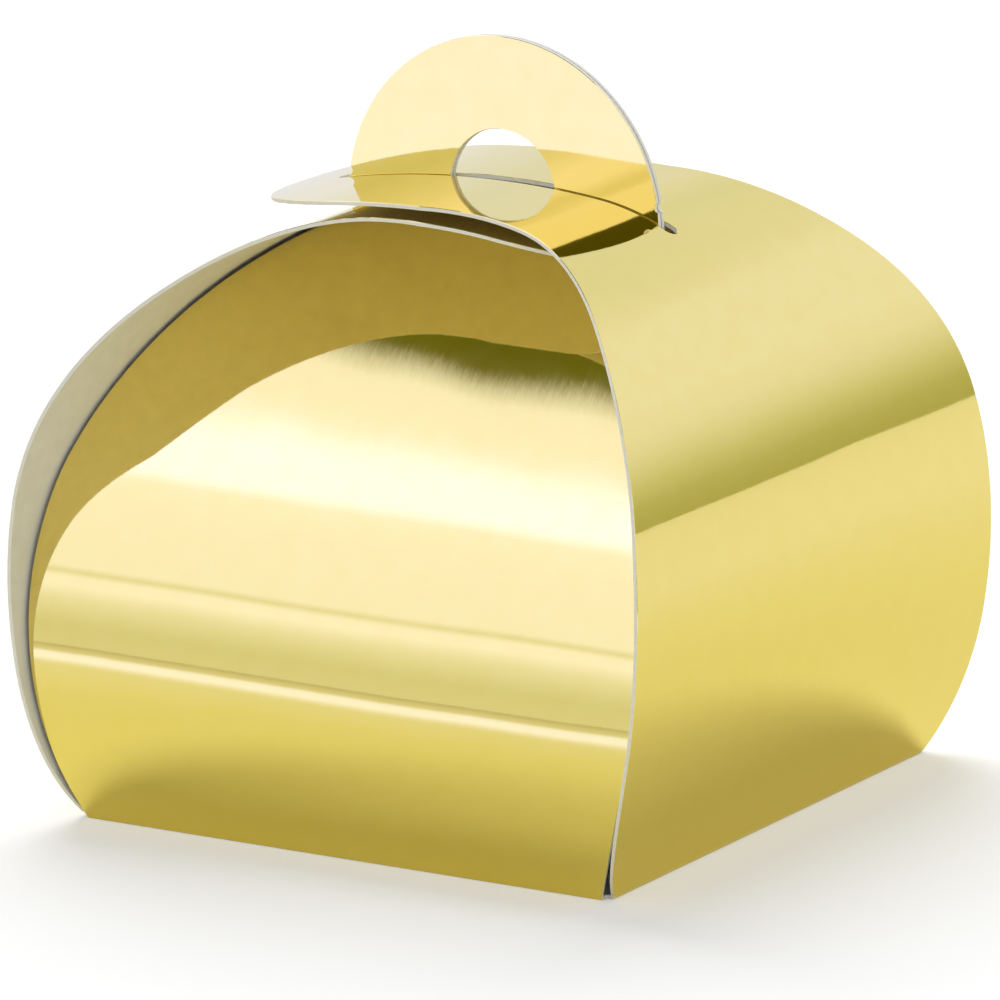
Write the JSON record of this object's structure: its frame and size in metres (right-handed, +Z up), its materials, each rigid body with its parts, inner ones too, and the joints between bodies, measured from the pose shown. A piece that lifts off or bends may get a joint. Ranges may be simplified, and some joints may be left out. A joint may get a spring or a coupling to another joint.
{
  "type": "favor box",
  "caption": "Small square gift box folded from metallised card, with bowed walls, crossed top tongues and a half-round carrying handle.",
  "frame": {"origin": "middle of the underside of the base panel, on the surface that the box stands on", "axes": "+Z up, +X towards the wall that carries the outer tongue, -Y towards the front wall"},
  "size_m": [0.0708, 0.0676, 0.0747],
  "materials": {
    "gold_card": "mirror gold foil outside, uncoated white inside",
    "fold": "creased gold foil"
  },
  "bodies": {
    "box_body": {"base_panel": "gold_card", "front_base_crease": "fold", "back_base_crease": "fold", "left_base_crease": "fold", "right_base_crease": "fold", "front_wall": "gold_card", "back_wall": "gold_card", "front_handle_crease": "fold", "back_handle_crease": "fold", "front_handle": "gold_card", "back_handle": "gold_card"},
    "right_side": {"right_wall": "gold_card", "right_shoulder_bend": "fold"},
    "outer_tongue": {"right_tongue": "gold_card"},
    "left_side": {"left_wall": "gold_card", "left_shoulder_bend": "fold"},
    "inner_tongue": {"left_tongue": "gold_card"}
  },
  "joints": [
    {"name": "outer_tongue_lift", "type": "hinge", "parent": "right_side", "child": "outer_tongue", "pos_m": [0.02327, 0, 0.05496], "axis": [0, 1, 0], "range_deg": [0, 105]},
    {"name": "right_wall_open", "type": "hinge", "parent": "box_body", "child": "right_side", "pos_m": [0.0298, 0, 0.0002], "axis": [0, 1, 0], "range_deg": [0, 30]},
    {"name": "inner_tongue_lift", "type": "hinge", "parent": "left_side", "child": "inner_tongue", "pos_m": [-0.02388, 0, 0.05168], "axis": [0, -1, 0], "range_deg": [0, 48]},
    {"name": "left_wall_open", "type": "hinge", "parent": "box_body", "child": "left_side", "pos_m": [-0.0298, 0, 0.0002], "axis": [0, -1, 0], "range_deg": [0, 6]}
  ],
  "couplings": [
    {"joint": "right_wall_open", "follows": "outer_tongue_lift", "ratio": 0.28},
    {"joint": "inner_tongue_lift", "follows": "outer_tongue_lift", "ratio": 0.45},
    {"joint": "left_wall_open", "follows": "outer_tongue_lift", "ratio": 0.05}
  ]
}
